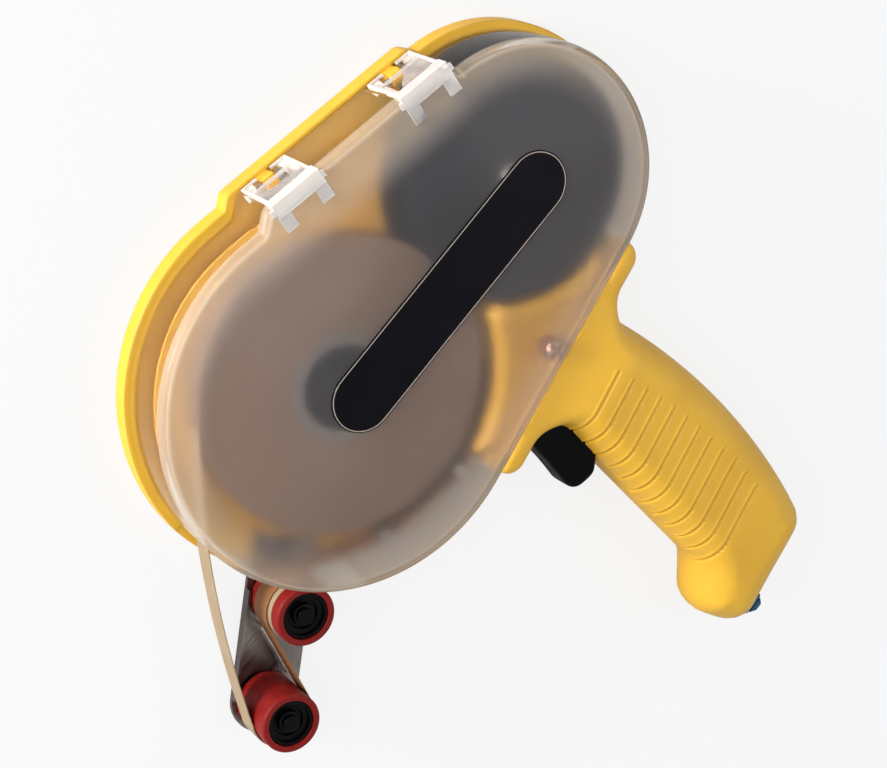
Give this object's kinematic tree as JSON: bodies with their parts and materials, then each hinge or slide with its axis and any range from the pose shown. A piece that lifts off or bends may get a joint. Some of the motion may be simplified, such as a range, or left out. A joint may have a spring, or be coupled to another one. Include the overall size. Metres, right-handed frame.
{
  "type": "adhesive transfer tape dispenser",
  "caption": "Pistol-grip transfer tape dispenser: tray with geared supply and take-up spools, hinged clear cover, nose rollers on a bracket, trigger brake.",
  "frame": {"origin": "on the resting plane of the flat back, on the supply spindle's axis", "axes": "+Z out through the clear cover, +X from the rollers at the nose to the take-up spool, +Y towards the cover's hinge, handle towards -Y"},
  "size_m": [0.2213, 0.2391, 0.0322],
  "materials": {
    "yellow_abs": "moulded yellow plastic, fine satin texture",
    "tray_plastic": "moulded orange-yellow plastic",
    "clear_cover": "frosted clear plastic",
    "milky_clip": "milky clear plastic",
    "black_label": "black plate, bare",
    "steel": "brushed steel",
    "red_rubber": "red rubber",
    "black_plastic": "black plastic",
    "tan_band": "tan rubber",
    "tape": "tan paper tape",
    "roll": "wound brown-grey tape",
    "core": "pale plastic core",
    "dark_plastic": "dark navy plastic",
    "gear_plastic": "natural acetal",
    "blue_plastic": "blue plastic",
    "felt": "felt pad"
  },
  "bodies": {
    "frame": {"rear_housing": "yellow_abs", "front_handle_shell": "yellow_abs", "gear_deck": "tray_plastic", "supply_spindle": "steel", "takeup_spindle": "steel", "idler_pin": "steel", "roller_bracket": "steel", "bracket_strip": "steel", "bracket_rivets": "steel", "lower_roller_axle": "steel", "upper_roller_axle": "steel", "brake_pin": "steel", "trigger_pin": "steel", "heel_plug": "blue_plastic", "housing_screws": "steel", "guide_posts": "steel", "hinge_pins": "steel", "tape_feed_strip": "tape", "liner_return_strip": "tape"},
    "cover": {"cover": "clear_cover", "hinge_clip_nose": "milky_clip", "hinge_clip_tail": "milky_clip", "label_plate": "black_label"},
    "supply": {"supply_hub": "dark_plastic", "supply_gear": "gear_plastic", "roll_core": "core", "tape_roll": "roll"},
    "idler": {"idler_gear": "gear_plastic"},
    "takeup": {"takeup_gear": "gear_plastic", "takeup_spool": "dark_plastic", "takeup_flange": "dark_plastic", "wound_liner": "tape", "clutch_spring": "steel", "clutch_cap": "black_plastic"},
    "lower_roller": {"lower_roller_sleeve": "red_rubber", "lower_roller_hub": "black_plastic"},
    "upper_roller": {"upper_roller_sleeve": "red_rubber", "upper_roller_hub": "black_plastic", "upper_roller_band": "tan_band"},
    "trigger": {"trigger": "black_plastic", "trigger_spring": "steel"},
    "brake": {"brake_lever": "black_plastic", "brake_pad": "felt"}
  },
  "joints": [
    {"name": "cover_hinge", "type": "hinge", "parent": "frame", "child": "cover", "pos_m": [0.00994, 0.06182, 0.0116], "axis": [0.9791, -0.2036, 0], "range_deg": [-100, 0]},
    {"name": "supply_spin", "type": "hinge", "parent": "frame", "child": "supply", "pos_m": [0, 0, 0.012], "axis": [0, 0, 1], "continuous": true},
    {"name": "idler_spin", "type": "hinge", "parent": "frame", "child": "idler", "pos_m": [0.045, 0, 0.0046], "axis": [0, 0, 1], "continuous": true},
    {"name": "takeup_spin", "type": "hinge", "parent": "frame", "child": "takeup", "pos_m": [0.081, 0, 0.012], "axis": [0, 0, 1], "continuous": true},
    {"name": "lower_roller_spin", "type": "hinge", "parent": "frame", "child": "lower_roller", "pos_m": [-0.0866, -0.0558, 0.0141], "axis": [0, 0, 1], "continuous": true},
    {"name": "upper_roller_spin", "type": "hinge", "parent": "frame", "child": "upper_roller", "pos_m": [-0.0589, -0.036, 0.0141], "axis": [0, 0, 1], "continuous": true},
    {"name": "trigger_pull", "type": "hinge", "parent": "frame", "child": "trigger", "pos_m": [0.046, -0.06, 0.016], "axis": [0, 0, 1], "range_deg": [0, 12], "stiffness_Nm_per_rad": 0.35},
    {"name": "brake_release", "type": "hinge", "parent": "frame", "child": "brake", "pos_m": [0.0091, -0.0409, 0.0046], "axis": [0, 0, 1], "range_deg": [-5, 0]}
  ],
  "couplings": [
    {"joint": "idler_spin", "follows": "supply_spin", "ratio": -2},
    {"joint": "takeup_spin", "follows": "supply_spin", "ratio": 1.4286},
    {"joint": "lower_roller_spin", "follows": "supply_spin", "ratio": 4.8936},
    {"joint": "upper_roller_spin", "follows": "supply_spin", "ratio": -4.7917},
    {"joint": "brake_release", "follows": "trigger_pull", "ratio": -0.41667}
  ]
}
